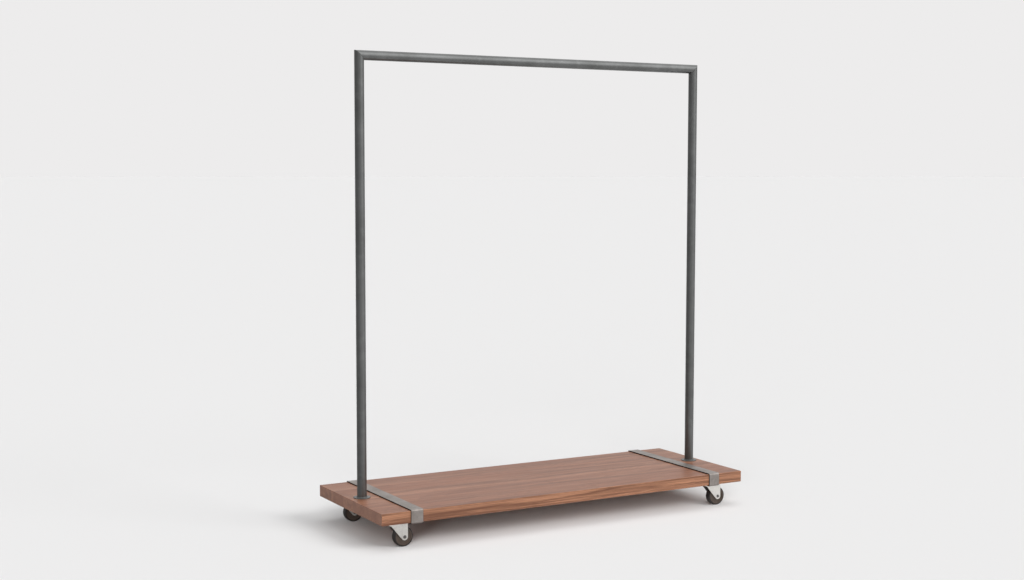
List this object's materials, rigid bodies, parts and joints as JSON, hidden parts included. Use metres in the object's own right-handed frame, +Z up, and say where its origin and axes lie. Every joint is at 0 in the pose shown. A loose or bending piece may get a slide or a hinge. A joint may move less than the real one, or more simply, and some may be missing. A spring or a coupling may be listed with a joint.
{
  "type": "rolling clothes rack",
  "caption": "Industrial rolling clothes rack: thick walnut deck with steel straps on swivel casters, carrying a square hoop of dark steel tube with a round hanging rail.",
  "frame": {"origin": "on the floor, under the middle of the deck", "axes": "+X along the deck, towards the right-hand end seen from the front; +Y from the front edge to the back edge; +Z up"},
  "size_m": [1.5, 0.548, 1.68],
  "materials": {
    "walnut": "satin oiled walnut",
    "frame_steel": "satin blackened steel",
    "strap_steel": "raw mill finish, lightly mottled",
    "caster_zinc": "zinc plated, satin",
    "fastener_steel": "bright zinc",
    "wheel_plastic": "matte moulded",
    "tyre_rubber": "matte"
  },
  "bodies": {
    "rack": {"deck": "walnut", "top_rail": "frame_steel", "foot_welds": "frame_steel", "strap_screws": "fastener_steel", "left_pole": "frame_steel", "left_base_disc": "frame_steel", "left_pole_plug": "fastener_steel", "left_frame_bolt": "fastener_steel", "left_frame_washer": "fastener_steel", "left_strap": "strap_steel", "right_pole": "frame_steel", "right_base_disc": "frame_steel", "right_pole_plug": "fastener_steel", "right_frame_bolt": "fastener_steel", "right_frame_washer": "fastener_steel", "right_strap": "strap_steel", "front_left_plate": "caster_zinc", "front_left_plate_screws": "fastener_steel", "front_left_swivel_balls": "fastener_steel", "front_left_kingpin": "fastener_steel", "front_right_plate": "caster_zinc", "front_right_plate_screws": "fastener_steel", "front_right_swivel_balls": "fastener_steel", "front_right_kingpin": "fastener_steel", "back_left_plate": "caster_zinc", "back_left_plate_screws": "fastener_steel", "back_left_swivel_balls": "fastener_steel", "back_left_kingpin": "fastener_steel", "back_right_plate": "caster_zinc", "back_right_plate_screws": "fastener_steel", "back_right_swivel_balls": "fastener_steel", "back_right_kingpin": "fastener_steel"},
    "front_left_swivel": {"front_left_fork": "caster_zinc", "front_left_axle_bolt": "fastener_steel", "front_left_axle_nut": "fastener_steel", "front_left_axle_sleeve": "fastener_steel"},
    "front_left_wheel": {"front_left_wheel_core": "wheel_plastic", "front_left_tyre": "tyre_rubber"},
    "front_right_swivel": {"front_right_fork": "caster_zinc", "front_right_axle_bolt": "fastener_steel", "front_right_axle_nut": "fastener_steel", "front_right_axle_sleeve": "fastener_steel"},
    "front_right_wheel": {"front_right_wheel_core": "wheel_plastic", "front_right_tyre": "tyre_rubber"},
    "back_left_swivel": {"back_left_fork": "caster_zinc", "back_left_axle_bolt": "fastener_steel", "back_left_axle_nut": "fastener_steel", "back_left_axle_sleeve": "fastener_steel"},
    "back_left_wheel": {"back_left_wheel_core": "wheel_plastic", "back_left_tyre": "tyre_rubber"},
    "back_right_swivel": {"back_right_fork": "caster_zinc", "back_right_axle_bolt": "fastener_steel", "back_right_axle_nut": "fastener_steel", "back_right_axle_sleeve": "fastener_steel"},
    "back_right_wheel": {"back_right_wheel_core": "wheel_plastic", "back_right_tyre": "tyre_rubber"}
  },
  "joints": [
    {"name": "front_left_swivel_turn", "type": "hinge", "parent": "rack", "child": "front_left_swivel", "pos_m": [-0.659, -0.21, 0.0825], "axis": [0, 0, 1], "continuous": true},
    {"name": "front_left_wheel_spin", "type": "hinge", "parent": "front_left_swivel", "child": "front_left_wheel", "pos_m": [-0.646, -0.21, 0.035], "axis": [0, 1, 0], "continuous": true},
    {"name": "front_right_swivel_turn", "type": "hinge", "parent": "rack", "child": "front_right_swivel", "pos_m": [0.659, -0.21, 0.0825], "axis": [0, 0, 1], "continuous": true},
    {"name": "front_right_wheel_spin", "type": "hinge", "parent": "front_right_swivel", "child": "front_right_wheel", "pos_m": [0.672, -0.21, 0.035], "axis": [0, 1, 0], "continuous": true},
    {"name": "back_left_swivel_turn", "type": "hinge", "parent": "rack", "child": "back_left_swivel", "pos_m": [-0.659, 0.21, 0.0825], "axis": [0, 0, 1], "continuous": true},
    {"name": "back_left_wheel_spin", "type": "hinge", "parent": "back_left_swivel", "child": "back_left_wheel", "pos_m": [-0.646, 0.21, 0.035], "axis": [0, 1, 0], "continuous": true},
    {"name": "back_right_swivel_turn", "type": "hinge", "parent": "rack", "child": "back_right_swivel", "pos_m": [0.659, 0.21, 0.0825], "axis": [0, 0, 1], "continuous": true},
    {"name": "back_right_wheel_spin", "type": "hinge", "parent": "back_right_swivel", "child": "back_right_wheel", "pos_m": [0.672, 0.21, 0.035], "axis": [0, 1, 0], "continuous": true}
  ]
}
